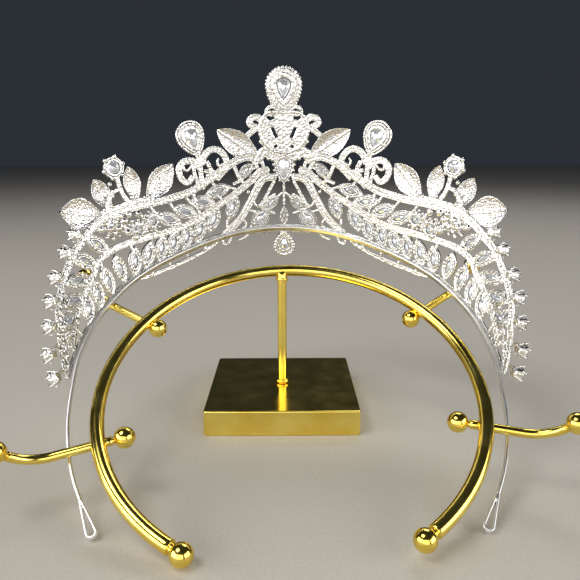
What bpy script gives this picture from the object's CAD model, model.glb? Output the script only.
# %% [markdown]
# This lesson dresses a diadem that rests on its display stand. The construction step has already
# given plain solids in one shared frame, in metres, with Z up. Here each solid gets a finer surface
# of the same form: rounded wire for flat bars, grooved rims round the stones, veined leaves and
# properly cut stones. Working inside the frame of the solids keeps every size true.
# %% Load the frame and keep its size
import bmesh
import bpy
import numpy as np
from mathutils import Matrix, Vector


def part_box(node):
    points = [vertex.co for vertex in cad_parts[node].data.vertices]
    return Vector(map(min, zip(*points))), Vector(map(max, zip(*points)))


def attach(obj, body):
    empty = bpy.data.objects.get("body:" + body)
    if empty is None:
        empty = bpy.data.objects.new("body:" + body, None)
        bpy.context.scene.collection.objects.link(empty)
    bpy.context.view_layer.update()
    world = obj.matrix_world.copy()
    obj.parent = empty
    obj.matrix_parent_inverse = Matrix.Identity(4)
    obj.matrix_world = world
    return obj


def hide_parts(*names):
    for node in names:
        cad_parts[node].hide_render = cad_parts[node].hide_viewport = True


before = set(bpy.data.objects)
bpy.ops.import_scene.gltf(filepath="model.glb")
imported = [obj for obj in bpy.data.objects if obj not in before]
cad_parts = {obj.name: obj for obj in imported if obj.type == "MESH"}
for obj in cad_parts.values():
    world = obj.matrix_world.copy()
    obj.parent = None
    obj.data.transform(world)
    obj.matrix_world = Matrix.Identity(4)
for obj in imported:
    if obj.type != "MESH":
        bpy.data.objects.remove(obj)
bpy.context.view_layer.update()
MM = 0.001

# %% [markdown]
# Every surface below is a grid of points: rows along one parameter, columns along the other. A grid
# can close on itself in either direction, as a tube or a ring does, and a row that shrinks to one
# point closes a pole. Points that fall together are merged, so each piece ends up watertight.
# Shapes could also be pushed about by hand, but worked out from numbers they are easy to change.
# %% Grids of points become one mesh
SMOOTH, FLAT = True, False
MERGE_MM = 0.0005


def grid(points, close_rows=False):
    """Faces between neighbouring rows and columns of points. Columns always wrap round; rows do
    where the grid closes on itself that way too."""
    rows, columns = points.shape[:2]
    r = np.arange(rows if close_rows else rows - 1)[:, None]
    c = np.arange(columns)[None, :]
    r2, c2 = (r + 1) % rows, (c + 1) % columns
    quads = np.stack(np.broadcast_arrays(r * columns + c, r * columns + c2,
                                         r2 * columns + c2, r2 * columns + c), axis=-1)
    return points.reshape(-1, 3), quads.reshape(-1, 4)


def unit(a):
    """Vectors divided by their own length."""
    return a / np.maximum(np.linalg.norm(a, axis=-1, keepdims=True), 1e-12)


def places(x, y, z):
    """Points from three arrays of coordinates, each spread out to the size of them all."""
    return np.stack(np.broadcast_arrays(x, y, z), -1)


def build(name, grids, material, smooth=SMOOTH):
    """One object from rows of (points in mm, faces) in the shared frame."""
    starts = np.cumsum([0] + [len(g[0]) for g in grids])
    points = np.concatenate([g[0] for g in grids]) * MM
    faces = np.concatenate([g[1] + s for g, s in zip(grids, starts)])
    mesh = bpy.data.meshes.new(name)
    mesh.from_pydata(points.tolist(), [], faces.tolist())
    mesh.polygons.foreach_set("use_smooth", np.full(len(faces), smooth))
    work = bmesh.new()
    work.from_mesh(mesh)
    bmesh.ops.remove_doubles(work, verts=work.verts, dist=MERGE_MM * MM)
    bmesh.ops.recalc_face_normals(work, faces=work.faces)
    work.to_mesh(mesh)
    work.free()
    mesh.materials.append(material)
    piece = bpy.data.objects.new(name, mesh)
    bpy.context.scene.collection.objects.link(piece)
    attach(piece, "root")
    print(name, len(mesh.polygons), "faces")
    return piece


# %% [markdown]
# Wire, rails and scrolls follow curves. A few places that the curve passes through are enough:
# between two of them a cubic takes its direction from the neighbours, so the run stays smooth.
# Blender's own curve objects do this too; an array is chosen because it also carries the sections.
# %% Smooth curves through a few places


def curve(rows, steps=8):
    """Curve through all places: each stretch is a cubic in t from 0 to 1 that starts and ends along
    the line from the place before to the place after."""
    p = np.asarray(rows, float)
    p = np.vstack([2 * p[:1] - p[1:2], p, 2 * p[-1:] - p[-2:-1]])
    t = np.linspace(0, 1, steps, endpoint=False)[None, :, None]
    a, b, c, d = (p[i:len(p) - 3 + i, None, :] for i in range(4))
    out = 0.5 * (2 * b + (c - a) * t + (2 * a - 5 * b + 4 * c - d) * t ** 2
                 + (3 * b - a - 3 * c + d) * t ** 3)
    return np.vstack([out.reshape(-1, p.shape[1]), p[-2:-1]])


def distances(line):
    """Length run along a line of places, from its start to each place."""
    return np.concatenate([[0], np.cumsum(np.linalg.norm(np.diff(line, axis=0), axis=1))])


def turns(count):
    """Angles of a closed ring of points."""
    return np.linspace(0, 2 * np.pi, count, endpoint=False)


print("a curve through 3 places has", len(curve([[0, 0], [1, 1], [2, 0]])), "points")

# %% [markdown]
# Three basic parts make most of the stand: a rod, a ball and a part turned on a lathe. A maker bends
# the rod, buys the ball and turns the collar; here each is a circle that travels. Rods end in a
# short rounding, because a sawn end is always filed over before it is polished.
# %% Rods, balls and turned parts
CAP_ROWS = 5


def tube(path, radius, sides=24, end=1.0):
    """Round wire: a circle of the given radius at each place of the path, in the plane square to it,
    starting square to the frame's axis that the path follows least. Each end closes in a quarter
    round as deep as end times the radius."""
    path = np.asarray(path, float)
    radius = np.broadcast_to(radius, len(path))
    ahead = unit(np.gradient(path, axis=0))
    lift = np.linspace(0, np.pi / 2, CAP_ROWS + 1)[1:]
    first = path[0] - ahead[0] * radius[0] * end * np.sin(lift[::-1, None])
    last = path[-1] + ahead[-1] * radius[-1] * end * np.sin(lift[:, None])
    path = np.vstack([first, path, last])
    radius = np.concatenate([radius[0] * np.cos(lift[::-1]), radius, radius[-1] * np.cos(lift)])
    ahead = np.pad(ahead, [(CAP_ROWS, CAP_ROWS), (0, 0)], "edge")
    side = unit(np.cross(ahead, np.eye(3)[np.argmin(np.abs(ahead).max(0))]))
    a = turns(sides)[None, :, None]
    ring = side[:, None] * np.cos(a) + np.cross(ahead, side)[:, None] * np.sin(a)
    return grid(path[:, None] + ring * radius[:, None, None])


def ball(centre, diameter, rings=24):
    """Sphere: circles of latitude from pole to pole."""
    lat = np.linspace(-np.pi / 2, np.pi / 2, rings)[:, None]
    lon = turns(2 * rings)[None, :]
    p = places(np.cos(lat) * np.cos(lon), np.cos(lat) * np.sin(lon), np.sin(lat))
    return grid(np.asarray(centre) + p * diameter / 2)


def lathe(profile, low=0.0, sides=48):
    """Part turned about the Z axis: rows of (height, radius) swept once round it, lifted by low."""
    profile = np.asarray(profile, float)
    height, radius, a = profile[:, :1] + low, profile[:, 1:], turns(sides)[None, :]
    return grid(places(-radius * np.sin(a), radius * np.cos(a), height))


def rounded(height, radius, edge):
    """Profile of a disc or collar with rounded edges: out along the foot, up, and back in."""
    a = np.linspace(0, np.pi / 2, CAP_ROWS)
    low = np.stack([edge * (1 - np.cos(a)), radius - edge * (1 - np.sin(a))], 1)
    high = np.stack([height - edge * (1 - np.sin(a)), radius - edge * (1 - np.cos(a))], 1)
    return np.vstack([[0, 0], low, high, [height, 0]])


print("a ball has", len(ball([0, 0, 0], 1)[1]), "faces")

# %% [markdown]
# The materials come before the shapes, because every piece names one. Colours are written as the hex
# codes that a picture shows; Blender mixes light in linear values, so one function turns them over.
# One more function adds a node, whatever its kind, and links it to the nodes before it.
# %% Colours and a helper for node materials


def linear(code):
    """sRGB hex code to linear red, green and blue with full alpha: a power of 2.4 above a short
    straight toe."""
    s = np.array([int(code[i:i + 2], 16) for i in (0, 2, 4)]) / 255
    return (*np.where(s <= 0.04045, s / 12.92, ((s + 0.055) / 1.055) ** 2.4).tolist(), 1.0)


def node(tree, kind, links=(), stops=(), **settings):
    """Adds a node. Settings go to its properties or sockets, links are (socket, from node, output),
    and stops are (place, hex code or grey value) along a colour ramp."""
    made = tree.nodes.new(kind)
    for key, value in settings.items():
        if hasattr(made, key):
            setattr(made, key, value)
        else:
            made.inputs[key.replace("_", " ")].default_value = value
    for socket, source, output in links:
        tree.links.new(source.outputs[output], made.inputs[socket])
    for number, (place, value) in enumerate(stops):
        mark = made.color_ramp.elements[number]
        mark.position = place
        mark.color = linear(value) if isinstance(value, str) else (value, value, value, 1)
    return made


def new_material(name, **sockets):
    """A node material, its Principled shader with the given plain values, and the place on the
    object in its own coordinates, ready to be linked."""
    material = bpy.data.materials.new(name)
    material.use_nodes = True
    tree = material.node_tree
    shader = tree.nodes["Principled BSDF"]
    for socket, value in sockets.items():
        shader.inputs[socket.replace("_", " ")].default_value = value
    return material, tree, shader, [("Vector", node(tree, "ShaderNodeTexCoord"), "Object")]


# %% [markdown]
# Stands and diadems like these are brass, steel or a white casting alloy, polished and electroplated,
# so the surface is close to a mirror. Noise at two scales takes off the computer's perfection:
# smudges some millimetres wide change tone and roughness, and hairline wear goes into the bump,
# drawn 0.3 to 0.4 mm wide, coarser than real, so that it shows. A casting also keeps the pebbled
# skin of its mould, which breaks highlights up into sparkle.
# %% Electroplated gold and silver


def plated(name, tones, rough, smudge_mm, wear_mm, wear_depth, pebble_mm=0.0, pebble_depth=0.0):
    """Bright plating: noise smudges in tone and roughness, fine wear as bump, and on a casting also
    the skin of the mould, cells a given size wide with rounded tops. Sizes and depths are in mm."""
    material, tree, shader, where = new_material(name, Metallic=1.0)
    smudge = node(tree, "ShaderNodeTexNoise", where, Scale=1 / (smudge_mm * MM), Detail=3.0,
                  Roughness=0.55)
    wear = node(tree, "ShaderNodeTexNoise", where, Scale=1 / (wear_mm * MM), Detail=2.0,
                Roughness=0.6)
    tone = node(tree, "ShaderNodeValToRGB", [("Fac", smudge, "Fac")], zip((0.3, 0.7), tones))
    gloss = node(tree, "ShaderNodeValToRGB", [("Fac", smudge, "Fac")], zip((0.25, 0.75), rough))
    bump = node(tree, "ShaderNodeBump", [("Height", wear, "Fac")], Strength=1.0,
                Distance=wear_depth * MM)
    if pebble_mm:
        pebble = node(tree, "ShaderNodeTexVoronoi", where, Scale=1 / (pebble_mm * MM))
        bump = node(tree, "ShaderNodeBump", [("Height", pebble, "Distance"),
                                             ("Normal", bump, "Normal")],
                    Strength=1.0, Distance=pebble_depth * MM, invert=True)
    for source, output, socket in ((tone, "Color", "Base Color"), (gloss, "Color", "Roughness"),
                                   (bump, "Normal", "Normal")):
        tree.links.new(source.outputs[output], shader.inputs[socket])
    return material


# Gold-plated brass, buffed: deep yellow, almost a mirror, so it shows long soft streaks.
gold = plated("polished_gold_plated_brass", ("F0CF58", "FAE27A"), (0.12, 0.22), 9.0, 0.4, 0.003)
# Silver-plated white metal casting: a warm white whose uneven skin glitters in small specks.
cast_silver = plated("silver_plated_casting", ("E0DBD1", "F7F8F8"), (0.14, 0.28), 1.6, 0.35, 0.012,
                     1.1, 0.22)
# Plated spring steel strip, rolled: smoother, and satin enough to look white along its whole length.
strip_silver = plated("plated_spring_strip", ("F1F1F0", "FAFAFA"), (0.3, 0.42), 6.0, 0.3, 0.004)
# The leaves are cast too: cream in their hollows, bluish white where they catch the light.
leaf_silver = plated("silver_plated_leaf", ("DCD3C6", "F2F5FA"), (0.16, 0.3), 2.4, 0.35, 0.012,
                     0.8, 0.2)
print("metals:", gold.name, cast_silver.name, strip_silver.name, leaf_silver.name)

# %% [markdown]
# The stones are rhinestones: moulded and cut crystal glass with a thin mirror foil over the pointed
# back. From the head's side the foil shows, so a facet is half mirror and half pale glass, and each
# one catches a lamp or the dark for itself. The trace of blue gives the stones their cool tone.
# %% Cut crystal glass with a foiled back
CLOUD_MM = 2.0


def mottled(name, tones, scale, **sockets):
    """A material whose colour wanders between two tones, by noise of the given scale."""
    material, tree, shader, where = new_material(name, **sockets)
    cloud = node(tree, "ShaderNodeTexNoise", where, Scale=scale, Detail=2.0)
    tone = node(tree, "ShaderNodeValToRGB", [("Fac", cloud, "Fac")], zip((0.3, 0.7), tones))
    tree.links.new(tone.outputs["Color"], shader.inputs["Base Color"])
    return material


clear_crystal = mottled("foiled_cut_glass_crystal", ("E6ECF6", "FFFFFF"), 1 / (CLOUD_MM * MM),
                        Metallic=0.5, Roughness=0.06, IOR=1.6, Transmission_Weight=0.4)
print("stones:", clear_crystal.name)

# %% [markdown]
# The stand and the headband are set out from the same sizes as the solids. The ring lies in a plane
# that slopes up to the back; the headband has its own, steeper plane. It is easier to draw each in a
# flat plane and carry it into the shared frame than to work out tilted places one by one.
# %% Sizes of the stand, in mm and degrees
foot_low, foot_high = (np.array(corner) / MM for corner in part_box("stand_base"))
BASE_W, BASE_H = foot_high[0] - foot_low[0], foot_high[2]
POST_D, RING_D, CLAW_D, BALL_D = 3.8, 4.6, 3.0, 6.8
POST_HOLE, POST_AIR, REST_GAP = 6.0, 0.15, 0.3
HEAD_W, HEAD_D = 147.0, 135.5
STRIP_W, STRIP_T = 2.2, 1.1
RING_R, RING_TILT, RING_GAP, RING_TURN = HEAD_W * 0.4285, 27.5, 69.0, 3.2
LEAN, HEAD_TURN = 32.0, 1.1


def sine(degrees):
    """Sine of an angle in degrees."""
    return np.sin(np.radians(degrees))


def cosine(degrees):
    """Cosine of an angle in degrees."""
    return np.cos(np.radians(degrees))


# The ring's lowest balls and the strip's feet stop just clear of the table.
BALL_OFF, BALL_AIR, STRIP_AIR = BALL_D * 0.55, 0.1, 0.15
LOW_END = RING_GAP / 2 - RING_TURN
BALL_DROP = sine(RING_TILT) * (RING_R * cosine(LOW_END) + BALL_OFF * sine(LOW_END))
RING_AT = np.array([3.5, 1.0 - RING_R * cosine(RING_TILT), BALL_D / 2 + BALL_AIR + BALL_DROP])
HEAD_AT = RING_AT * [1, 1, 0] + [-1.1, 0, STRIP_W / 2 * cosine(LEAN) + STRIP_AIR]
POST_TOP = RING_AT[2] + RING_R * sine(RING_TILT)
FEET_BACK = RING_R * 0.604


def turned(p, degrees, axis):
    """Points turned about the X axis (0) or the Z axis (2): the other two coordinates are mixed by
    the angle's cosine and sine."""
    i, j = ((1, 2), (2, 0), (0, 1))[axis]
    out = np.array(p, float)
    out[..., i] = p[..., i] * cosine(degrees) - p[..., j] * sine(degrees)
    out[..., j] = p[..., i] * sine(degrees) + p[..., j] * cosine(degrees)
    return out


def ring_to_frame(p):
    """From the ring's own plane to the shared frame: tilt it, then lift it to its middle."""
    return turned(np.asarray(p, float), RING_TILT, 0) + RING_AT


def head_to_frame(p):
    """From the headband's plane to the shared frame: lean it, set its feet down, turn it a little."""
    leaned = turned(np.asarray(p, float), LEAN, 0) - [0, FEET_BACK, 0]
    return turned(leaned, HEAD_TURN, 2) + HEAD_AT


def moved(grids, to_frame):
    """The same grids carried from a plane of their own into the shared frame."""
    return [(to_frame(g[0]), *g[1:]) for g in grids]


print("foot plate", round(BASE_W, 1), "x", round(BASE_H, 1), "post to", round(float(POST_TOP), 1))

# %% [markdown]
# The foot plate is a solid block with crisp, slightly broken edges: polishing takes the sharpness
# off. One closed outline, a square with round corners, is stacked in rows: pulled in a little at the
# bottom and top edges, and on top drawn in to the hole that takes the post. A box with a Bevel
# modifier would do as well, but the rows give the hole in the same piece.
# %% The foot plate
CORNER, EDGE, HOLE_RIM = 1.2, 0.5, 1.08


def rounded_square(side, corner, points=12):
    """Square outline whose four corners are quarter circles."""
    a = np.linspace(0, np.pi / 2, points)
    quarter = np.stack([np.cos(a), np.sin(a)], 1) * corner + side / 2 - corner
    spin = [np.eye(2), np.array([[0, 1], [-1, 0]]), -np.eye(2), np.array([[0, -1], [1, 0]])]
    return np.vstack([quarter @ s for s in spin])


def level(outline, height):
    """Flat outline as points at one height."""
    return np.column_stack([outline, np.full(len(outline), height)])


def foot_plate():
    """Rows: middle of the underside, its edge, the side, the top edge, the hole's rim and bottom."""
    a = np.linspace(0, np.pi / 2, CAP_ROWS)
    near = EDGE * 0.1
    low = EDGE * (1 - np.cos(a))
    inset = np.concatenate([[EDGE + near], EDGE * (1 - np.sin(a)), [0, 0], low, [EDGE + near]])
    height = np.concatenate([[0], low, [EDGE + near, BASE_H - EDGE - near], BASE_H - low[::-1],
                             [BASE_H]])
    walls = [level(rounded_square(BASE_W - 2 * i, CORNER), h) for i, h in zip(inset, height)]
    outline = rounded_square(BASE_W, CORNER)
    hole = unit(outline) * (POST_D / 2 + POST_AIR)
    floor_h = BASE_H - POST_HOLE
    down = [level(hole * wide, h) for wide, h in
            ((HOLE_RIM, BASE_H), (1, BASE_H), (1, BASE_H - near), (1, floor_h), (0, floor_h))]
    return grid(np.array([level(hole * 0, 0), *walls, *down]))


plate = build("foot_plate_gold", [foot_plate()], gold)
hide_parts("stand_base")

# %% [markdown]
# The frame is bent from rod and soldered: a post with two turned collars, a ring open at the front,
# and four cradle claws that end in little balls. Each length of rod is a circle carried along a path,
# each ball a sphere on a thin neck.
# %% The ring, the post and the collars
NECK_BACK, NECK_OUT, NECK_R = 0.3, 2.2, 0.36


def ring_place(degrees, radius=RING_R):
    """Place on the ring, from its middle, at an angle from the ring's own X axis."""
    return np.stack([radius * cosine(degrees), radius * sine(degrees), 0 * degrees], -1)


def ball_end(place, ahead, rod_d):
    """A neck and a ball on the end of a rod that points ahead."""
    place, ahead = np.asarray(place, float), unit(np.asarray(ahead, float))
    neck = np.linspace(place - ahead * NECK_BACK, place + ahead * NECK_OUT, 6)
    return [tube(neck, rod_d * NECK_R), ball(place + ahead * BALL_OFF, BALL_D)]


span = np.linspace(RING_TURN + RING_GAP / 2 - 90, RING_TURN - RING_GAP / 2 + 270, 240)
ring_parts = [tube(ring_place(span), RING_D / 2, 32, end=0.2)]
for side in (-1, 1):
    end = np.array(RING_TURN - 90 + side * RING_GAP / 2)
    ring_parts += ball_end(ring_place(end), -side * ring_place(end + 90.0, 1.0), RING_D)

# Each collar: height of its foot, its own height, its radius.
COLLARS = [(BASE_H + REST_GAP, 1.4, POST_D * 0.75), (POST_TOP - RING_D / 2 - 2, 1.6, POST_D * 0.65)]
COLLAR_EDGE = 0.35
post = [[0, 0, z] for z in np.linspace(BASE_H - POST_HOLE + REST_GAP, POST_TOP, 12)]
post_parts = [tube(post, POST_D / 2, 40, end=0.1)]
post_parts += [lathe(rounded(high, radius, COLLAR_EDGE), low) for low, high, radius in COLLARS]
print("ring", round(float(2 * RING_R), 1), "mm wide,", len(ring_parts) + len(post_parts), "parts")

# %% [markdown]
# The headband's curve is needed before the claws, because they reach out to hold it. It was bent
# over a last of a head's shape. A table of shares of its length and of half its width gives one half,
# and the other is its mirror image.
# %% The line of the headband
BAND_ROWS = np.array([
    [1, 0], [0.993, 0.15], [0.974, 0.28], [0.944, 0.4], [0.905, 0.52], [0.86, 0.635],
    [0.81, 0.74], [0.746, 0.84], [0.654, 0.929], [0.583, 0.973], [0.488, 1], [0.409, 0.998],
    [0.289, 0.975], [0.196, 0.932], [0.134, 0.888], [0.074, 0.83], [0, 0.757]])
BAND_STEPS, NEARBY = 24, 1.5
whole_band = np.vstack([BAND_ROWS[:0:-1] * [1, -1], BAND_ROWS])
band_line = curve(whole_band, BAND_STEPS)[:, ::-1] * [HEAD_W / 2, HEAD_D]
band_arc = distances(band_line)
BAND_HALF = band_arc[-1] / 2
band_arc = band_arc - BAND_HALF


def band(u):
    """Middle of the strip at the distance u along it from the front, in the headband's plane."""
    return np.stack([np.interp(u, band_arc, band_line[:, 0]), np.interp(u, band_arc, band_line[:, 1]),
                     np.zeros(np.shape(u))], -1)


def along(u):
    """Direction of the strip, from places a little before and after."""
    return unit(band(np.asarray(u) + NEARBY) - band(np.asarray(u) - NEARBY))


def outward(u):
    """Direction away from the head, square to the strip."""
    a = along(u)
    return np.stack([-a[..., 1], a[..., 0], 0 * a[..., 0]], -1)


print("half of the strip", round(float(BAND_HALF), 1), "mm")

# %% [markdown]
# Each claw is a rod across the ring that bends up at its outer end, with a ball at both ends. The
# first pair carries the strip from below, the second keeps it down from above. A claw takes its place
# from the strip that it holds, so the two always fit.
# %% The four claws
# Each claw: side, share of half the strip, 1 below or -1 above it, inner end in ring radii.
CLAWS = [(-1, 0.462, 1, 1.0), (1, 0.433, 1, 1.0), (-1, 0.845, -1, 0.935), (1, 0.812, -1, 0.925)]
CLAW_BEND, CLAW_TURN, CLAW_PAST, CLAW_AIR = 15.0, 52.0, 4.0, 0.45
CLAW_SHORT, CLAW_LIFT, RISER_R = 0.5, 0.2, 0.45


def frame_to_ring(p):
    """Back from the shared frame to the ring's own plane."""
    return turned(np.asarray(p, float) - RING_AT, -RING_TILT, 0)


def claw(side, share, under, start_share):
    """Straight rod at the height of its hold, then an arc upwards; balls on both ends, and a short
    riser that stands on the ring."""
    hold = frame_to_ring(head_to_frame(band(side * share * BAND_HALF)))
    far = np.hypot(hold[0], hold[1])
    out, up = np.array([hold[0], hold[1], 0]) / far, np.array([0, 0, 1.0])
    off = (STRIP_W + CLAW_D) / 2 + CLAW_AIR
    start = far - CLAW_SHORT if under > 0 else far + CLAW_PAST
    height = hold[2] - off if under > 0 else hold[2] + off + CLAW_LIFT
    bend = np.linspace(0, CLAW_TURN, 20)[:, None]
    straight = out * np.linspace(RING_R * start_share, start, 12)[:-1, None] + up * height
    arc = out * (start + CLAW_BEND * sine(bend)) + up * (height + CLAW_BEND * (1 - cosine(bend)))
    parts = [tube(np.vstack([straight, arc]), CLAW_D / 2, end=0.15)]
    parts += ball_end(straight[0], -out, CLAW_D)
    parts += ball_end(arc[-1], out * cosine(CLAW_TURN) + up * sine(CLAW_TURN), CLAW_D)
    riser = out * RING_R + up * np.linspace(0, height, 6)[:, None]
    return parts + [tube(riser, CLAW_D * RISER_R, end=0.1)]


claw_parts = [part for row in CLAWS for part in claw(*row)]
stand_parts = moved(ring_parts + claw_parts, ring_to_frame) + post_parts
stand = build("stand_frame_gold", stand_parts, gold)
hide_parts("stand_frame")

# %% [markdown]
# Two more basic parts. Flat wire is a bar with a squarish section, as the rolls leave it; a rim is a
# band of metal between two outlines, bent round a stone and soldered, or cast with the rest. Both may
# have a shallow groove in the face, which gives a polished edge its second line of light.
# %% Bars and rims
GROOVE_HALF, BAR_END = 0.62, 0.25


def bulge(angle, power=1.0):
    """Unit circle, squarer where cosine and sine are raised to a power below one; signs are kept."""
    return np.stack([np.sign(f) * np.abs(f) ** power for f in (np.cos(angle), np.sin(angle))], -1)


def carried(path, across, up, width, height, sides=12, power=0.45, groove=0.0):
    """Bar: a squarish section carried along a path, width across and height up. The groove lowers the
    middle of the face by one less the square of the distance; both ends close in a short round."""
    shape = bulge(turns(sides) + np.pi / sides, power)
    shape[:, 1] -= groove * (shape[:, 1] > 0) * np.clip(1 - (shape[:, 0] / GROOVE_HALF) ** 2, 0, 1)
    lift = np.linspace(0, np.pi / 2, CAP_ROWS)[1:, None]
    ahead = unit(np.gradient(path, axis=0))
    width = np.broadcast_to(width, len(path)).astype(float)
    depth = width[[0, -1]] * BAR_END
    path = np.vstack([path[0] - ahead[0] * depth[0] * np.sin(lift[::-1]), path,
                      path[-1] + ahead[-1] * depth[1] * np.sin(lift)])
    grow = np.concatenate([np.cos(lift[::-1, 0]), np.ones(len(width)), np.cos(lift[:, 0])])
    pad = CAP_ROWS - 1
    across, up = (np.pad(p, [(pad, pad), (0, 0)], "edge")[:, None] for p in (across, up))
    width = np.pad(width, pad, "edge") * grow
    return grid(path[:, None] + across * shape[None, :, :1] * width[:, None, None] / 2
                + up * shape[None, :, 1:] * (height * grow)[:, None, None] / 2)


def rim(outer, inner, height, groove=0.0):
    """Band of metal between two outlines of as many points: every place of its section lies a share of
    the way from the inner to the outer line, at a share of half the height."""
    section = np.array([[0, -1], [0, 0.5], [0.1, 0.85], [0.25, 1], [0.5, 1 - groove], [0.75, 1],
                        [0.9, 0.85], [1, 0.5], [1, -0.55], [0.8, -1]])
    share, rise = section[:, 0, None, None], section[:, 1, None, None]
    flat = inner * (1 - share) + outer * share
    high = np.broadcast_to(rise * height / 2, (*flat.shape[:2], 1))
    return grid(np.concatenate([flat, high], -1), close_rows=True)


def shifted(shape, by):
    """The same grid moved along the axes."""
    return shape[0] + by, shape[1]


print("a bar's end takes", CAP_ROWS - 1, "rows")

# %% [markdown]
# The headband is a flat spring strip, drawn and bent on edge, with each end folded back to a narrow
# loop that a hairpin can hold. The strip is a bar on the line, and each loop a rim between outlines
# drawn round two circles, a small one where the fold begins and a wide one where it turns.
# %% The headband and its loops
LOOP_L, LOOP_W, LOOP_LAP, LOOP_AIM, SLIT_W, STRIP_PLACES = 13.0, 3.6, 0.6, 2.0, 0.3, 400


def two_circles(d0, x0, d1, x1, points=16):
    """Outline drawn tight round two circles on the X axis."""
    touch = np.arccos((d1 - d0) / 2 / (x1 - x0))
    arcs = ((-touch, touch, d1, x1), (touch, 2 * np.pi - touch, d0, x0))
    return np.vstack([bulge(np.linspace(a, b, points)) * d / 2 + [x, 0] for a, b, d, x in arcs])


stop = BAND_HALF - LOOP_L + LOOP_LAP
u_line = np.linspace(-stop, stop, STRIP_PLACES)
upright = np.tile([0, 0, 1.0], (STRIP_PLACES, 1))
band_parts = [carried(band(u_line), outward(u_line), upright, STRIP_T, STRIP_W)]
wide_at = LOOP_L - LOOP_W / 2
loop = rim(two_circles(STRIP_T, 0, LOOP_W, wide_at),
           two_circles(SLIT_W, LOOP_L * 0.25, LOOP_W - 1.7 * STRIP_T, wide_at), STRIP_W)
for side in (-1, 1):
    begin, aim = band(side * (stop - LOOP_LAP)), band(side * (BAND_HALF - LOOP_AIM))
    angle = np.degrees(np.arctan2(aim[1] - begin[1], aim[0] - begin[0]))
    band_parts.append((turned(loop[0], angle, 2) + begin, loop[1]))
strip = build("headband_strip", moved(band_parts, head_to_frame), strip_silver)
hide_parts("headband")

# %% [markdown]
# The front is one casting that stands on the strip as a flared wall. Its places are given as on a
# chart: how far along the half (0 at the middle, 100 at the end of the wall) and how high in percent
# of the crest. One function turns a place on the chart into a point, and others give the directions
# there, so a flat drawing of a setting can be laid anywhere on the wall.
# %% The flared wall
CREST_H, FLARE, SHEET_T, RAIL_W = 66.5, 27.0, 1.5, 2.4
REACH = BAND_HALF * 0.67
SEAT_OUT = STRIP_T / 2 + REST_GAP + STRIP_W / 2 * np.tan(np.radians(FLARE))
SEAT = cosine(FLARE) * SEAT_OUT + SHEET_T / 2
CHART = np.array([REACH, CREST_H]) / 100


def up_wall(u):
    """Direction up the wall at a distance along it: upright, tipped outwards by the flare."""
    return np.array([0, 0, cosine(FLARE)]) + outward(u) * sine(FLARE)


def inner(u):
    """Direction square to the wall, towards the head."""
    return np.array([0, 0, sine(FLARE)]) - outward(u) * cosine(FLARE)


def wall(u, v, w=0.0):
    """Point of the wall: along it by u, up it by v, and w off its middle towards the head."""
    u, v, w = np.broadcast_arrays(u, v, w)
    return band(u) + up_wall(u) * v[..., None] + inner(u) * (w - SEAT)[..., None]


def place_of(rows):
    """From the chart's percent to mm along and up the wall."""
    return np.asarray(rows, float)[..., :2] * CHART


def on_wall(local, spot, w=0.0):
    """Points drawn flat (x, y, and z towards the head), turned by the spot's angle and laid on the
    wall: each lies its x along it, its y up it and its z off it."""
    u, v = place_of(spot[:2])
    local = turned(np.asarray(local, float), spot[2] if len(spot) > 2 else 0.0, 2)
    return (wall(u, v, w) + along(u) * local[..., 0:1] + up_wall(u) * local[..., 1:2]
            + inner(u) * local[..., 2:3])


def seated(shape, spot, w=0.0):
    """A grid drawn flat, laid on the wall at a spot."""
    return on_wall(shape[0], spot, w), shape[1]


def both(grids):
    """The same pieces on both halves: across the middle, the sign of x changes."""
    return grids + [(points * [-1, 1, 1], faces) for points, faces in grids]


print("wall reaches", round(float(REACH), 1), "mm to each side")

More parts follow.
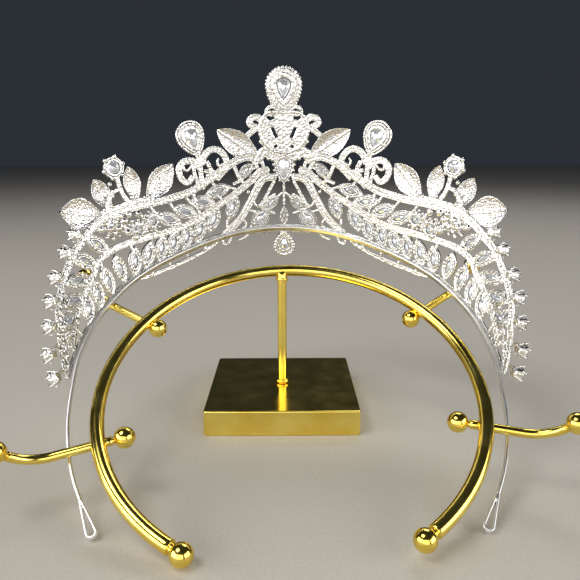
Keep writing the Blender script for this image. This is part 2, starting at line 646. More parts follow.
# %% [markdown]
# Rails, scrolls and stems look like half-round wire; a maker builds the model from wax wire and casts
# it in one piece. Each follows a few places on the chart. The solids have them as flat bars with
# corners; here the same bars run smoothly and have rounded edges.
# %% The rails and scrolls
# Each rail: its places, its first and last width in rail widths, and its thickness in sheets.
RAILS = {
    "upper_rail": ([[6.7, 44.5], [11.7, 46.9], [20.8, 38.8], [28.3, 34.3], [33.5, 34.2], [39.2, 35.1],
                    [48.3, 38.5], [55, 40.5], [59.2, 40.3], [64.2, 37.7], [68.3, 36.3], [74.2, 31.8],
                    [79.2, 27.1], [84.6, 22], [88.8, 16], [93.3, 10.3], [97, 5.5], [100, 1.6]],
                   1, 0.75, 1),
    "middle_rail": ([[4.6, 38], [7.1, 37], [10.8, 30.8], [16.3, 24.3], [23.8, 19.1], [31.7, 15.4],
                     [38.3, 15.5], [46.7, 18], [53.3, 20.6], [60.4, 22.8], [65, 22.2], [68.3, 18.8],
                     [72.1, 16.3], [76.7, 13.4], [81.3, 10.2], [85.8, 7.1], [91, 3.6]], 0.9, 0.6, 1),
    "border_strip": ([[22.1, 0.5], [25.8, -3], [30.8, -5.2], [36.7, -6.2], [41, -6.1], [45, -5.7],
                      [49, -4.8], [52.5, -3.8], [58.3, 0.5]], 0.7, 0.7, 0.8),
    "outer_bow": ([[2.6, 33.5], [6.7, 31.5], [10.8, 18.9], [15, 8.6], [21.3, 1]], 0.96, 0.96, 1.15),
    "inner_bow": ([[3, 30.5], [5.7, 21.2], [7.2, 16.9], [8.2, 14.2]], 0.62, 0.62, 1),
    "petal_rod": ([[2, 45], [5.5, 50], [7, 45.5], [9.2, 46]], 1.7, 1.25, 1),
    "crest_curl": ([[1.6, 75.4], [2.9, 76.8], [4.2, 75.4], [4.3, 73], [3, 71.6]], 0.8, 0.54, 1),
    "crest_hook": ([[5.4, 68], [7, 71], [8.6, 70], [8.8, 67], [7.3, 64.6], [8.4, 62.6], [9.8, 60.2]],
                   0.84, 0.62, 1),
    "peak_stem": ([[23.5, 56.5], [23.7, 48], [24.3, 40], [25.1, 34]], 1, 0.84, 1),
    "peak_scroll_in": ([[23.3, 48.4], [21.4, 53.6], [19, 55.4], [17, 52.2], [16.2, 46.4], [17.2, 41.4],
                        [19.8, 36.8]], 0.88, 0.62, 1),
    "peak_scroll_out": ([[24, 46.6], [25.6, 51.4], [28.2, 52.6], [30.2, 49.4], [30.4, 43.6],
                         [28.8, 39.8], [26.8, 42.4]], 0.88, 0.62, 1),
    "round_stem": ([[47.6, 38.6], [48.7, 46], [48.7, 53], [48.3, 58.2]], 0.75, 0.75, 1),
    "spray_stem": ([[55.4, 41], [53.6, 47.5], [51.2, 51], [48.9, 51.6]], 0.67, 0.67, 1),
    "low_curl": ([[18.6, 1], [20.4, -4.6], [22.4, -5], [22.6, -2]], 0.58, 0.42, 1),
    "low_leaf": ([[11.6, 1], [13.8, -3.4], [17, -5]], 0.75, 0.34, 1),
}
RAIL_GROOVE, RIM_GROOVE, GROOVED_FROM = 0.45, 0.4, 1.3


def run_on_wall(rows, steps, w=0.0):
    """Smooth run through places of the chart: its points, and its directions in and off the wall."""
    uv = curve(place_of(rows), steps)
    path, off = wall(uv[:, 0], uv[:, 1], w), inner(uv[:, 0])
    return path, unit(np.cross(off, np.gradient(path, axis=0))), off


def rod(rows, wide, thin, thick, steps=8, w=0.0):
    """Bar along the wall: a rounded section spans the width in the wall and the thickness across it;
    only wide bars are grooved."""
    path, side, off = run_on_wall(rows, steps, w)
    groove = RAIL_GROOVE if wide > GROOVED_FROM else 0.0
    return carried(path, side, off, np.linspace(wide, thin, len(path)), thick, 16, 0.8, groove)


rods = [rod(rows, RAIL_W * wide, RAIL_W * thin, SHEET_T * thick)
        for rows, wide, thin, thick in RAILS.values()]
print(len(rods), "rods a side")

# %% [markdown]
# Short links tie a rail to the tip or the rim of a setting. They stiffen the real casting and lead the
# metal through the mould. Posts carry the border strip, and the crest stands on a stem of its own.
# %% Links, posts and the middle stem
# Each link runs from its first place to its second.
LINKS = [
    [19.4, 9.6, 20.2, 1.5], [55.6, 2.6, 56, 1.2], [53.4, 15.6, 53, 19.6], [60.1, 3, 60.2, 1.2],
    [64.2, 17.4, 64, 22], [66.8, 2.8, 67, 1.2], [16.6, 29.9, 14.4, 27.4], [30, 27.6, 31.2, 34],
    [22.7, 23.2, 21.8, 20], [35.6, 27.7, 37, 34.4], [41.4, 27.2, 43, 36.4], [43.7, 22.4, 43.6, 17.4],
    [45.6, 27.6, 47.4, 37.6], [50.6, 26.2, 53.2, 32], [57.6, 35.6, 60, 39], [78.9, 21.7, 80.2, 25.8],
    [84, 9, 84.6, 1.2], [88, 10, 88.6, 5], [8.9, 42, 8, 46], [2, 20.4, 0.6, 23], [6.6, 13, 7.8, 15],
    [5.2, 11.2, 3, 9.4], [11.4, 2.6, 12, 1.2], [9.4, 11.4, 12.8, 14]]
BORDER_POSTS, POST_SLANT = [29, 36, 43, 50], 0.6
LINK_W, BORDER_W, FOOT_W, DROP_STEM_W, LINK_T = 1.2, 1.1, 1.5, 3.4, SHEET_T * 0.6
short = [rod([a[:2], a[2:]], LINK_W, LINK_W, LINK_T, 4) for a in LINKS]
short += [rod([[p, 1.2], [p + POST_SLANT, -5]], BORDER_W, BORDER_W, LINK_T, 4)
          for p in BORDER_POSTS]
foot_line = [[x, 1.13] for x in np.linspace(-100, 100, 41)]
middle = [rod(foot_line, FOOT_W, FOOT_W, SHEET_T * 0.85, 6),
          rod([[0, 48.2], [0, 55], [0, 64], [0, 74.5]], RAIL_W * 1.08, RAIL_W * 1.25, SHEET_T, 6),
          rod([[0, 15], [0, 22], [0, 28.8]], LINK_W, LINK_W, LINK_T, 4),
          rod([[0, 1.2], [0, -3.4]], DROP_STEM_W, DROP_STEM_W, SHEET_T * 0.8, 4)]
openwork = both(rods + short) + middle
print(len(short), "links and posts a side,", len(middle), "bars in the middle")

# %% [markdown]
# Beside the crest's stem lies a petal on each side: a plate with a raised, rounded edge and three
# holes above one another. Each petal is laid as three fields, one for each hole. A field's rows run
# from the lip of its hole out to its edge, over the edge and back underneath.
# %% The petals beside the stem
PETAL_EDGE = [[0.2, 73.4], [3.8, 73.4], [5.4, 70.2], [6.4, 64.9], [6.2, 58.7], [4.7, 53],
              [2.4, 49.7], [0.2, 48.6]]
# Each field: its edge, the middle line of its hole, the hole's width in mm.
PETAL_FIELDS = [
    ([[0.2, 73.4], [2.4, 73.6], [4.2, 73.2], [5.3, 70.4], [5.9, 67.2], [3, 66.6], [0.2, 66.6]],
     [[2.6, 70.8], [3.5, 70.2], [4.0, 69.4]], 1.9),
    ([[0.2, 67.0], [3, 67.0], [5.8, 67.6], [6.4, 63.5], [6.2, 58.7], [5.3, 55], [3, 55.2],
      [0.2, 55]], [[3.0, 64.2], [2.5, 61], [1.9, 57.8]], 1.1),
    ([[0.2, 55.4], [3, 55.6], [5.5, 55.4], [4.6, 52.8], [2.4, 49.7], [0.2, 48.6]],
     [[2.0, 53.6], [2.9, 52.9]], 2.1)]
PETAL_LIP, LIP_SHARE, FIELD_PLACES = 0.3, 0.12, 64


def evenly(outline, count):
    """Places at even steps along a closed outline."""
    closed = np.vstack([outline, outline[:1]])
    run = distances(closed)
    at = np.linspace(0, run[-1], count, endpoint=False)
    return np.stack([np.interp(at, run, column) for column in closed.T], 1)


def around(middle_line, width, points):
    """Closed line round a short run of places, half a width away, as even steps."""
    run = curve(middle_line, 8)
    ahead = unit(np.gradient(run, axis=0))
    side = np.stack([-ahead[:, 1], ahead[:, 0]], 1) * width / 2
    return evenly(np.vstack([run + side, (run - side)[::-1]]), points)


def sense(line):
    """Angle that a closed line turns through about its middle, from its first to its last place."""
    angle = np.unwrap(np.arctan2(*(line - line.mean(0)).T[::-1]))
    return angle[-1] - angle[0]


def matched(inside, outside):
    """The inner line with its start and sense turned so that it runs beside the outer one."""
    if sense(inside) * sense(outside) < 0:
        inside = inside[::-1]
    centre = inside.mean(0)
    start = np.argmin(np.linalg.norm(unit(inside - centre) - unit(outside[0] - centre), axis=1))
    return np.roll(inside, -start, axis=0)


def between(inside, outside, high, lip, rows=7):
    """Plate between two closed lines on the wall: rows from the inner line to the outer one, its face
    raised near both lines as a bell curve makes a lip, then the same rows back along the underside."""
    t = np.linspace(0, 1, rows)
    bell = np.exp(-(t / LIP_SHARE) ** 2) + np.exp(-((1 - t) / LIP_SHARE) ** 2)
    rise = high / 2 + lip * bell - lip
    rise[[0, -1]] = high * 0.3
    uv = inside[None] * (1 - t[:, None, None]) + outside[None] * t[:, None, None]
    top = wall(uv[..., 0], uv[..., 1], rise[:, None])
    under = wall(uv[::-1, :, 0], uv[::-1, :, 1], -high / 2)
    return grid(np.concatenate([top, under]), close_rows=True)


petals = []
for edge, hole, width in PETAL_FIELDS:
    line = evenly(curve(place_of(edge), 8), FIELD_PLACES)
    hole_line = matched(around(place_of(hole), width, FIELD_PLACES), line)
    petals.append(between(hole_line, line, SHEET_T, PETAL_LIP))
openwork += both(petals)
print(len(petals), "fields a petal")

# %% [markdown]
# The stones are held in rims that are open at the back. A pointed stone has two bows as its outline,
# and its rim runs out into leaf-like tips; a pear is drawn through a few places and keeps its point.
# %% Outlines of the stones
NAVETTE_L, NAVETTE_W, CREST_W = 7.6, 3.5, 8.0
SMALL_L, SMALL_W = NAVETTE_L * 0.74, NAVETTE_W * 0.68
PEAR = [[-0.5, 0], [-0.3, 0.25], [-0.02, 0.45], [0.2, 0.5], [0.38, 0.38], [0.5, 0]]
PLUMP = [[-0.5, 0.14], [-0.38, 0.32], [-0.1, 0.47], [0.16, 0.5], [0.36, 0.38], [0.47, 0.18],
         [0.5, 0]]


def navette(length, width, points=24):
    """Pointed oval: the half width falls off as one less the share of the half length to the power
    2.2."""
    x, y = bulge(turns(points)).T
    return np.stack([x * length / 2, np.sign(y) * (1 - np.abs(x) ** 2.2) * width / 2], 1)


def disc(diameter, points=24):
    """Circle."""
    return bulge(turns(points)) * diameter / 2


def pear(rows, width, length, points=32):
    """Drop: a smooth run up one side through the table's places and back down the other, in even
    steps."""
    side = np.asarray(rows)[:, ::-1] * [width, length]
    return evenly(curve(np.vstack([side, (side * [-1, 1])[-2::-1]]), 12), points)


def grown(outline, by):
    """Outline moved outwards, each place square to the line through its neighbours."""
    ahead = unit(np.roll(outline, -1, 0) - np.roll(outline, 1, 0))
    square = np.stack([ahead[:, 1], -ahead[:, 0]], 1)
    turn = np.sign(np.sum(square * (outline - outline.mean(0))))
    return outline + square * turn * by


crest_line = pear(PEAR, CREST_W, CREST_W * 1.38, 48)
crest_rim = pear(PLUMP, CREST_W + 7.4, CREST_W * 1.38 + 7.4, 48)
peak_line = pear(PEAR, CREST_W * 0.98, CREST_W * 1.34)
centre_line = pear(PEAR, NAVETTE_L * 0.86, NAVETTE_L * 1.42)
drop_line = -pear(PEAR, NAVETTE_L * 0.76, NAVETTE_L * 0.98)
lens_line = navette(NAVETTE_L * 1.1, NAVETTE_W * 1.3)
round_line = disc(NAVETTE_L * 0.86)
print("crest stone", CREST_W, "mm wide, its rim", np.round(np.ptp(crest_rim, axis=0), 1), "mm")

# %% [markdown]
# Now the rims themselves, set by set: lower row, upper row, small ones and the main stones. Each spot
# is a place on the chart and, where the stone is turned, its angle.
# %% The settings
LOWER_ROW = [
    [16.9, 17.2, 117], [24, 12.6, 127], [29.5, 9.1, 123], [34.7, 8.1, 122], [39.7, 8, 126],
    [44.4, 8, 122], [49.3, 8.3, 130], [54.4, 8.9, 120], [59.9, 10.5, 105], [65.5, 9.9, 108],
    [71.1, 8.7, 118], [76.7, 7.6, 132]]
UPPER_ROW = [
    [20.4, 29.4, -5], [26.3, 25.4, 18], [32.5, 23.4, 37], [38.5, 22.9, 38], [61.7, 30.5, 65],
    [67.9, 28, 60], [73.8, 23.4, 25], [78.8, 17.8, 22], [84.2, 13.2, 8]]
ACCENTS, ACCENT_AT = [[4.2, 16.8, 135], [11.2, 38.6, 140]], [0, 8.2, 90]
# Each small round: its place and its diameter in stone lengths.
ROUNDS = [[55, 34.3, 0.66], [49.2, 24.6, 0.54], [43.7, 25.9, 0.44]]
PEAK_AT, LENS_AT, ROUND_AT = [24.2, 64.6, -8], [8, 7.4, 141], [48.2, 63.8]
CREST_AT, CENTRE_AT, DROP_AT = [0, 87], [0, 38.6], [0, -10.8]
STONE_GAP, WALL, RIM_H = 0.15, 0.55, SHEET_T * 1.3
# Length and width of a pointed stone, and half the length of its rim.
LARGE, SMALL = (NAVETTE_L, NAVETTE_W, 5.9), (SMALL_L, SMALL_W, 4.35)
POINTED = [(r, LARGE) for r in LOWER_ROW + UPPER_ROW] + [(r, SMALL) for r in ACCENTS]


def set_rim(spot, line, wide, high):
    """Rim of even width round a stone's outline."""
    outer, inside = grown(line, STONE_GAP + wide), grown(line, STONE_GAP)
    return seated(rim(outer, inside, high, RIM_GROOVE), spot)


def leaf_rim(spot, length, width, half):
    """Rim of a pointed stone that runs out into tips."""
    outer = navette(2 * half, width + 2 * (STONE_GAP + WALL))
    inside = navette(length + 3 * STONE_GAP, width + 2 * STONE_GAP)
    return seated(rim(outer, inside, RIM_H, RIM_GROOVE), spot)


settings = [leaf_rim(spot, *size) for spot, size in POINTED]
settings += [set_rim(r[:2], disc(NAVETTE_L * r[2], 16), WALL, RIM_H) for r in ROUNDS]
settings += [set_rim(PEAK_AT, peak_line, 0.9, 2.2), set_rim(LENS_AT, lens_line, WALL, RIM_H),
             set_rim(ROUND_AT, round_line, 0.7, 2.0)]
openwork += both(settings) + [set_rim(CENTRE_AT, centre_line, 0.8, 2.0),
                              set_rim(DROP_AT, drop_line, 1.3, 2.0), leaf_rim(ACCENT_AT, *SMALL)]
print(len(settings), "rims a side")

# %% [markdown]
# Seven cups stand on each edge of the front, each a small cone with claws that hold a round stone.
# A cone is turned, the claws are wires that bend in over the stone.
# %% The edge cups
TIP_ROW = [[65.2, 42.6], [70.6, 38.2], [77.3, 32.6], [83.3, 27.4], [89.6, 21], [96.6, 15.2],
           [102.2, 8.8]]
TIP_FEET = [[63.6, 37.5], [68.8, 35.4], [75, 30.6], [80.8, 25.4], [86.6, 18.8], [92, 12.4],
            [97.6, 5]]
CUP_IN, CLAWS_PER_CUP, CLAW_R = NAVETTE_L * 0.28, 6, 0.3
# Height towards the head and radius of a cup: its hollow, the lip, the cone and the foot.
CUP = [[0, 0], [0, CUP_IN * 0.66], [-1.9, CUP_IN - 0.25], [-1.95, CUP_IN + 0.05],
       [-1.85, CUP_IN + 0.3], [-1.2, CUP_IN + 0.15], [0.4, CUP_IN * 0.8], [1.0, CUP_IN * 0.74],
       [1.1, CUP_IN * 0.6], [1.1, 0]]
# Distance from the cup's axis and height of a claw, from its foot to its tip.
CUP_CLAW = [[CUP_IN * 0.9, 0.6], [CUP_IN * 1.36, -1.2], [CUP_IN * 1.34, -2.1], [CUP_IN * 0.86, -2.6]]


def cup(spot):
    """Cone with a rounded lip and a hollow, and claws bent over the stone."""
    away, height = curve(CUP_CLAW, 4).T
    wires = [places(away * np.cos(a), away * np.sin(a), height) for a in turns(CLAWS_PER_CUP)]
    parts = [lathe(CUP, sides=24)] + [tube(wire, CLAW_R, 8) for wire in wires]
    return [seated(part, spot) for part in parts]


cups = [part for spot in TIP_ROW for part in cup(spot)]
for foot_at, cup_at in zip(TIP_FEET, TIP_ROW):
    begin, aim = place_of(foot_at), place_of(cup_at)
    end = aim + unit(begin - aim) * CUP_IN * 0.72
    cups.append(rod([foot_at, end / CHART], FOOT_W, FOOT_W, LINK_T, 4))
openwork += both(cups)
print(len(TIP_ROW), "cups a side, open", round(2 * CUP_IN, 1), "mm")

# %% [markdown]
# The crest has a pear stone in a wide rim. Two rows of tiny stones are set into the rim, and beads
# along its edge make the scalloped outline. Each tiny stone sits in a ring of its own, open both ways.
# %% The crest
BEADS, BEAD_D, OUTER_SEEDS, INNER_SEEDS, SEED_W = 34, 1.5, 26, 20, 0.95
collar = rim(grown(crest_line, 1.0), grown(crest_line, -0.9), 0.8)
crest_parts = [rim(crest_rim * 0.93, grown(crest_line, STONE_GAP), 1.7), shifted(collar, [0, 0, 1.45])]
crest_parts += [ball([x, y, 0], BEAD_D, 9) for x, y in evenly(grown(crest_rim, -BEAD_D / 2), BEADS)]
seed_places = np.vstack([evenly(grown(crest_rim, -2.0), OUTER_SEEDS),
                         evenly(grown(crest_line, 1.75), INNER_SEEDS)])
seed_rim = rim(disc(1.55, 12), disc(1.0, 12), 0.7)
crest_parts += [shifted(seed_rim, [x, y, z]) for x, y in seed_places for z in (SEED_W, -SEED_W)]
openwork += [seated(part, CREST_AT) for part in crest_parts]
casting = build("openwork_casting", moved(openwork, head_to_frame), cast_silver)
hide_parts("openwork")

# %% [markdown]
# The finest work of the casting is a piece of its own here, because it has nearly as many faces as
# the rest of the casting. Short scrolls fill what is left between the rails, and from a distance
# they make it look like lace. They are bars along the wall, made by the same function as the rails.
# %% Short scrolls
# Each scroll: its places and its first width in mm, which narrows to four fifths.
FINE = {
    "fleur_inner": ([[21.4, 48.6], [20.9, 42.6], [22.5, 37.1], [24.7, 33.5]], 2.0),
    "fleur_outer": ([[25.3, 50.1], [26, 44.9], [25.9, 38.4], [26.3, 34]], 1.8),
    "fleur_bar": ([[22.6, 43.6], [19.6, 41.3], [16.5, 40.4]], 1.7),
    "fleur_hook_in": ([[17.2, 45.2], [18.4, 44.5], [18.7, 47.2], [18.2, 49]], 1.3),
    "fleur_hook_out": ([[26, 49.3], [27.6, 47.1], [28.7, 47.8], [28.6, 50.2]], 1.3),
    "slant_outer": ([[27.8, 35.6], [28.2, 27.9], [27.8, 16.6]], 1.4),
    "slant_middle": ([[21.7, 36.8], [20.9, 33.4], [19.6, 22.2]], 1.4),
    "slant_inner": ([[14.2, 42.3], [13.2, 34.2], [11.3, 29.3]], 1.7),
    "scroll_upper": ([[15.2, 31.7], [12.7, 33.4], [10.6, 38.4], [8.6, 39.9]], 1.5),
    "collar_upper": ([[6.5, 56.3], [4.4, 52.3], [2.1, 54.6], [0.5, 54.6]], 1.5),
    "collar_lower": ([[7.3, 49.6], [5.1, 46.8], [2.8, 46.9], [1.4, 47.7]], 1.4),
    "side_plate": ([[8.2, 44.2], [7.9, 40.3], [6.6, 34.7]], 1.9),
    "side_hook": ([[6.3, 43.2], [5.6, 37.4], [4.4, 33.4]], 1.6),
    "curl_bow": ([[10.3, 19.5], [8.9, 15.2], [7.3, 15.6], [7.1, 11.6], [9.2, 10]], 1.2),
    "curl_low": ([[17.4, 5], [15.4, 7.8], [13.6, 6.4], [13.4, 3.4], [14.8, 2]], 1.2),
    "accent_leaf": ([[8.6, 14.5], [5.8, 18.6], [2.8, 22.2]], 1.5),
    "spray": ([[48.6, 46.5], [47.9, 40]], 1.8),
    "leaf_feet": ([[56.4, 43.6], [50.7, 42.4], [44.8, 40.6], [40.6, 38]], 1.9),
    "end_bar_one": ([[84.4, 18.9], [81.5, 11.5], [79, 7]], 1.5),
    "end_bar_two": ([[88.2, 14.5], [85, 11], [83.2, 6]], 1.5),
    "end_bar_three": ([[91.6, 10.6], [88.6, 8], [86.6, 2]], 1.5),
    "end_bar_four": ([[94.2, 8], [91.6, 5.4], [89.8, 1.2]], 1.5),
    "end_spine": ([[82, 15], [86.4, 12], [90.6, 8], [94.6, 4.4], [98, 1.6]], 1.4),
    "end_link_one": ([[77, 28.6], [74.4, 21.6], [71.6, 15.8]], 1.3),
    "end_link_two": ([[71.2, 33.6], [69.8, 27], [67, 21]], 1.3),
}
fine = [rod(rows, wide, wide * 0.8, SHEET_T * 0.8, 6) for rows, wide in FINE.values()]
print(len(FINE), "scrolls a side")

# %% [markdown]
# Grains are little balls. A goldsmith melts them on charcoal and solders them on one by one; here the
# mould already had them. They lie round the side stones as a rosette, hang below the strip as a hem,
# and hide the joints of the scrolls. Each is small, so a ball of few faces will do.
# %% Grains
GRAINS = [[20.9, 45.6], [23.8, 43.8], [26.2, 41.6], [22.2, 40.4], [24.9, 37.4], [21.9, 51.2],
          [25.9, 52.4], [52, 55], [50.9, 51.4], [50.7, 56.2], [51.6, 49.4], [53.1, 44.6],
          [55.4, 44.4], [46.8, 43.8], [43, 40.6], [41.6, 39.6], [49.6, 31.2], [46, 29.6],
          [46.6, 23], [52.4, 28.6], [58.4, 30.4], [57, 27.6], [12.2, 31.4], [9.8, 34.4], [8.9, 31],
          [12.9, 26.4], [11.2, 25], [4.4, 45.2], [3.2, 44.6], [88, 9.4], [90.4, 5.6], [86.4, 7.4],
          [93.6, 5.6], [84.6, 13], [81.6, 15.6], [80.6, 10.4], [96.4, 3.6]]
HEM = [[12.6, -1.2], [10.8, -1.5], [9.0, -1.8], [7.2, -1.9], [5.4, -1.8], [3.8, -1.6]]
ROSETTE = [[54.3, 35.6], [56.6, 33.2], [52.2, 37.2], [51.6, 33.4], [49.6, 35.8], [54.4, 31.2],
           [49.8, 24.6], [47.6, 27.2], [52.2, 26.6], [50.6, 21.4], [58.8, 36.2], [47.0, 33.6]]
GRAIN_D, ROSETTE_D, HEM_D, GRAIN_RINGS = 1.8, 3.3, 2.4, 7


def grains(spots, diameter):
    """Small balls on the wall, one at each place of the chart."""
    return [seated(ball([0, 0, 0], diameter, GRAIN_RINGS), spot) for spot in spots]


def ringed(spot, outline, by, count, diameter, w=0.0):
    """Small balls at even steps along a stone's outline, moved out from it."""
    return [seated(ball([x, y, w], diameter, GRAIN_RINGS), spot)
            for x, y in evenly(grown(outline, by), count)]


fine += grains(GRAINS, GRAIN_D) + grains(ROSETTE, ROSETTE_D) + grains(HEM, HEM_D)
print(len(GRAINS) + len(ROSETTE) + len(HEM), "grains a side")

# %% [markdown]
# Seen from the head's side each stone looks smaller than it is, because a thin second rim closes over
# its edge. Six of the rails and scrolls, and all the pointed rims, have a thin line of metal just
# outside their edges, which gives them a double outline. A bar runs round each petal, and grains ring
# the round and pear-shaped stones like claws.
# %% Edge wires and second rims
EDGE_R, EDGE_OUT, EDGE_W = 0.34, 0.15, 0.25
EDGED = ("upper_rail", "middle_rail", "outer_bow", "peak_scroll_in", "peak_scroll_out", "crest_hook")
LIP_H, TAPERED = 0.5, [0.8, 0.7]


def edged(rows, wide, thin):
    """Two thin wires along a rail, one on each edge."""
    path, side, _ = run_on_wall(rows, 6, EDGE_W)
    half = np.linspace(wide, thin, len(path))[:, None] / 2 + EDGE_OUT
    return [tube(path + side * half * s, EDGE_R, 6, end=0.5) for s in (-1, 1)]


def outer_rim(spot, length, width):
    """Thin line of metal just outside a pointed rim."""
    outer, inside = navette(length + 0.6, width + 1.0), navette(length + 0.1, width + 0.3)
    return seated(rim(outer, inside, SHEET_T * 0.9), spot)


def lip(spot, outline, share, w):
    """Second rim that closes over the edge of a stone, in to a share of its outline."""
    return seated(shifted(rim(outline, outline * share, LIP_H), [0, 0, w]), spot)


for name in EDGED:
    rows, wide, thin, _ = RAILS[name]
    fine += edged(rows, RAIL_W * wide, RAIL_W * thin)
fine += [outer_rim(spot, 2 * half, width + 2 * (STONE_GAP + WALL))
         for spot, (_, width, half) in POINTED]
fine += [outer_rim(LENS_AT, NAVETTE_L * 1.45, NAVETTE_W * 1.3 + 1.7)]
fine += [lip(spot, navette(*size[:2]), TAPERED, 0.75 if size == LARGE else 0.6)
         for spot, size in POINTED]
fine += [lip(LENS_AT, lens_line, TAPERED, 0.75), lip(PEAK_AT, peak_line, 0.72, 0.9),
         lip(ROUND_AT, round_line, 0.78, 0.85)]
fine += [set_rim(PEAK_AT, grown(peak_line, 1.1), 0.8, 1.5)]
fine += ringed(PEAK_AT, peak_line, 1.5, 5, 1.5, 0.6) + ringed(ROUND_AT, round_line, 0.9, 6, 1.7, 0.5)
for r in ROUNDS:
    for by, count, size in ((WALL + 0.45, 10, 1.7), (WALL + 1.7, 12, 1.4)):
        fine += ringed(r[:2], disc(NAVETTE_L * r[2], 16), by, count, size)
lace = both(fine) + ringed(CENTRE_AT, centre_line, 1.2, 14, 1.3, 0.4)
lace += ringed(DROP_AT, drop_line, 1.3, 20, 1.9, 0.3)
lace += [lip(CENTRE_AT, centre_line, 0.8, 0.85), lip(DROP_AT, drop_line, 0.75, 0.85),
         lip(ACCENT_AT, navette(*SMALL[:2]), TAPERED, 0.6)]
lace += both([rod(PETAL_EDGE, 1.3, 1.3, 0.8, 6, 0.75)])
build("openwork_fine_work", moved(lace, head_to_frame), cast_silver)

# %% [markdown]
# The leaves are cast with a midrib and slanting veins, slightly dished, and thin at their edges. One
# grid gives both faces: along the leaf, and across it from one edge over the front and back again.
# Each height is a fold towards the midrib, plus fine ridges for the veins.
# %% The leaves
# Share of the length, half width in widths, and depth of the fold.
LEAF_ROWS = [[0, 0.1, 0.3], [0.2, 0.31, 0.7], [0.45, 0.49, 1], [0.68, 0.45, 0.85],
             [0.88, 0.24, 0.5], [1, 0.02, 0.1]]
FOLD, LEAF_T, LEAF_PLACES = 1.3, 0.8, 25
VEIN_MM, VEIN_H, VEIN_AHEAD, VEIN_BACK, RIB_H, RIB_MM = 0.8, 0.22, 0.4, 0.9, 0.35, 0.4
# Each leaf: place along and up the chart, angle, length and width in mm.
LEAVES = {"centre": [7.1, 45.4, 38, 21, 10.2], "wide": [56.6, 42.6, 33, 16, 12],
          "tall": [53.6, 43.4, 88, 12.6, 7.6], "slim": [45.6, 40.4, 99, 13.8, 7],
          "inner": [42.2, 38.4, 149, 18, 10]}


def leaf(length, width):
    """Folded leaf: place along it and share across it give the surface; the veins are a rectified
    sine across lines that run back from the midrib, and the midrib is a bell curve."""
    x, half, fold = (column[:, None] for column in curve(LEAF_ROWS, 16).T)
    y = np.linspace(-1, 1, LEAF_PLACES)[None, :]
    across = y * half * width
    slant = (x * length * VEIN_AHEAD - np.abs(across) * VEIN_BACK) / VEIN_MM
    fade = np.clip(half * 4, 0, 1) * np.clip(1.2 - np.abs(y), 0, 1)
    ridge = VEIN_H * np.abs(np.sin(np.pi * slant)) ** 0.6 * fade
    ridge += RIB_H * np.exp(-(across / RIB_MM) ** 2)
    top = -fold * FOLD * (1 - np.abs(y) ** 1.8)
    thick = LEAF_T * (1 - 0.75 * np.abs(y) ** 3)
    front, back = (places(x * length, across, z) for z in (top - ridge - thick, top + ridge))
    return grid(np.concatenate([back, front[:, ::-1]], axis=1))


HANDS = (("left", -1), ("right", 1))
for kind, (*spot, length, width) in LEAVES.items():
    points, faces = seated(leaf(length, width), spot, -SHEET_T / 2 - REST_GAP)
    for hand, sign in HANDS:
        placed_leaf = moved([(points * [sign, 1, 1], faces)], head_to_frame)
        piece = build(f"leaf_{kind}_{hand}_cast", placed_leaf, leaf_silver)
        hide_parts(f"leaf_{kind}_{hand}")

# %% [markdown]
# A cut stone has a flat table, a belt of slanting facets down to its girdle, and a pavilion that runs
# to a point behind. Rows of the outline at several sizes give it, with every other row turned by half
# a step, so that the faces between them break up into the kites and triangles of real facets.
# %% Cutting a stone
TABLE, GIRDLE, STONE_H, SEED_D = 0.62, 0.3, NAVETTE_W * 0.3, 1.05


def cut_stone(outline, deep, keel=0.0):
    """Rows from the table's middle to the culet: share of the outline and height of each row. A keel
    keeps the rows behind long, so that a pointed stone ends in a ridge and not in a point."""
    halfway = (outline + np.roll(outline, -1, 0)) / 2
    face = -GIRDLE - deep * 0.75
    rows = [(outline, 0, face), (outline, TABLE, face),
            (halfway, (1 + TABLE) / 2 + 0.02, -GIRDLE - deep * 0.42), (outline, 1, -GIRDLE),
            (outline, 1, 0), (halfway, 0.66, deep * 0.5), (outline, 0.3, deep * 0.98),
            (outline, 0, deep * 1.25)]
    behind = [keel * (share < 0.5 and high > 0) for _, share, high in rows]
    return grid(np.array([level(line * [share + more * (1 - share), share], high)
                          for (line, share, high), more in zip(rows, behind)]))


def row_of(rows, length, width):
    """Stones of one size at every place of a table."""
    shape = cut_stone(navette(length, width, 12), STONE_H, keel=0.3)
    return [seated(shape, r) for r in rows]


def stone_piece(name, grids, nodes):
    """One piece of stones that stands for its solid."""
    piece = build(name, moved(grids, head_to_frame), clear_crystal, FLAT)
    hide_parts(*nodes)


# %% [markdown]
# The main stones are pieces of their own, so each can be chosen apart. A round or a drop is cut with
# sixteen places round it, a pointed one with twelve. The tiny stones of the crest ride with its own.
# %% The main stones
# Each stone: its outline, its spot and its depth.
MAIN = {"crest": (crest_line, CREST_AT, 1.3), "centre": (centre_line, CENTRE_AT, 1.2),
        "drop": (drop_line, DROP_AT, 1.2)}
PAIRS = {"peak": (peak_line, PEAK_AT, 1.3), "lens": (lens_line, LENS_AT, STONE_H),
         "round": (round_line, ROUND_AT, 1.2)}
seed = cut_stone(disc(SEED_D, 8), 0.45)
seeds = [seated(shifted(seed, [x, y, 0]), CREST_AT) for x, y in seed_places]
for name, (line, spot, deep) in MAIN.items():
    stones = [seated(cut_stone(evenly(line, 16), deep), spot)] + (seeds if name == "crest" else [])
    stone_piece(f"crystal_{name}", stones, [f"stone_{name}"])
for name, (line, spot, deep) in PAIRS.items():
    line = line[::2] if name == "lens" else evenly(line, 16)
    points, faces = seated(cut_stone(line, deep), spot)
    for hand, sign in HANDS:
        stone_piece(f"crystal_{name}_{hand}", [(points * [sign, 1, 1], faces)],
                    [f"stone_{name}_{hand}"])

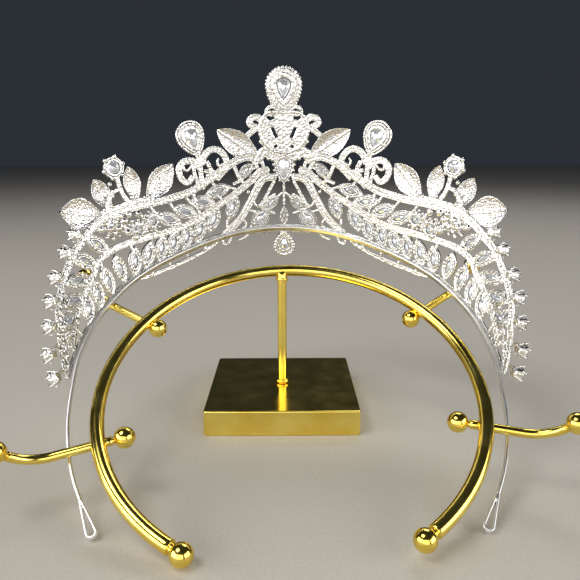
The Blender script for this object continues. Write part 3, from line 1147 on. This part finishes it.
# %% [markdown]
# The small stones come in fields, one piece for each, because nobody picks them out singly.
# %% The fields of stones
for name, rows in (("lower", LOWER_ROW), ("upper", UPPER_ROW)):
    stone_piece(f"crystals_{name}_row", both(row_of(rows, NAVETTE_L, NAVETTE_W)),
                [f"stones_{name}_row"])
tip_stone = cut_stone(disc(NAVETTE_L * 0.46, 12), NAVETTE_L * 0.13)
stone_piece("crystals_edge", both([seated(tip_stone, r, -1.5) for r in TIP_ROW]), ["stones_tips"])
small = row_of(ACCENTS, SMALL_L, SMALL_W)
small += [seated(cut_stone(disc(NAVETTE_L * r[2], 12), STONE_H), r[:2]) for r in ROUNDS]
stone_piece("crystals_accent", both(small) + row_of([ACCENT_AT], SMALL_L, SMALL_W), ["stones_accent"])

# %% [markdown]
# The floor is one wide sheet of pale matt paper, as on a photographer's table. It gives the bright
# metal something even to mirror from below, and its own grain is too fine to draw the eye.
# %% The floor
FLOOR_SIDE = 3.0
corners = [(x * FLOOR_SIDE, y * FLOOR_SIDE, 0) for x, y in ((-1, -1), (1, -1), (1, 1), (-1, 1))]
mesh = bpy.data.meshes.new("floor")
mesh.from_pydata(corners, [], [(0, 1, 2, 3)])
mesh.materials.append(mottled("pale_matt_paper", ("C1BBAF", "C9C3B7"), 900.0, Roughness=0.6))
floor = bpy.data.objects.new("floor", mesh)
bpy.context.scene.collection.objects.link(floor)
print("floor", 2 * FLOOR_SIDE, "m a side")

# %% [markdown]
# The camera was found by matching the foot plate, the post and the ring to where they are seen. It
# stands low in front and looks slightly down. An object's matrix has its three directions and its
# place as columns; a camera looks along its own minus Z, so its back is the opposite of forward.
# %% The camera
EYE = (0.00204338, -0.24547858, 0.10871707)
RIGHT = (0.99998166, -0.00565707, -0.00216282)
UP = (0.00341326, 0.2314089, 0.97285059)
FORWARD = (0.00500299, 0.97284013, -0.23142397)
LENS_MM, SENSOR_MM, CLIP_M = 38.054, 36.0, 0.01


def placed(thing, right, up, back, place):
    """Puts an object into the scene by its three directions and its place."""
    matrix = np.eye(4)
    matrix[:3] = np.column_stack([right, up, back, place])
    thing.matrix_world = Matrix(matrix.tolist())
    bpy.context.scene.collection.objects.link(thing)
    return thing


camera = bpy.data.objects.new("camera", bpy.data.cameras.new("camera"))
placed(camera, RIGHT, UP, -np.array(FORWARD), EYE)
camera.data.sensor_width, camera.data.lens, camera.data.clip_start = SENSOR_MM, LENS_MM, CLIP_M
bpy.context.scene.camera = camera
print("lens", LENS_MM, "mm")

# %% [markdown]
# Polished metal shows what stands round it, so the lamps are wide panels. The big ones stand behind
# the camera and at both sides, where the wall of metal mirrors them; a small one above draws the
# edges, and one behind parts the piece from the floor. The surroundings stay dim and bluish, so that
# hollows go dark and the silver has contrast.
# %% The lights
AIM = (0, -0.03, 0.06)
# Each lamp: its place and aim in metres, its width and height, its power in watts.
LAMPS = {"front": ((-0.15, -1.1, 0.30), (0, 0, 0.05), (1.3, 0.8), 6.6),
         "left": ((-1.0, -0.5, 0.34), AIM, (1.1, 0.6), 8),
         "right": ((1.0, -0.5, 0.34), AIM, (1.1, 0.6), 8),
         "key": ((-0.5, -0.3, 1.0), AIM, (0.5, 0.4), 4),
         "back": ((0.3, 0.7, 0.9), AIM, (0.5, 0.3), 2.5)}
for name, (place, aim, size, power) in LAMPS.items():
    light = bpy.data.lights.new(name, "AREA")
    light.shape, light.size, light.size_y = "RECTANGLE", *size
    light.energy = power
    back = unit(np.array(place) - np.array(aim))
    side = unit(np.cross([0, 0, 1.0], back))
    placed(bpy.data.objects.new(name, light), side, np.cross(back, side), back, place)

world = bpy.data.worlds.new("studio")
bpy.context.scene.world = world
world.use_nodes = True
sky = world.node_tree.nodes["Background"]
sky.inputs["Color"].default_value = linear("7C8596")
sky.inputs["Strength"].default_value = 0.12
bpy.context.scene.view_settings.view_transform = "Standard"
print(len(LAMPS), "panels")
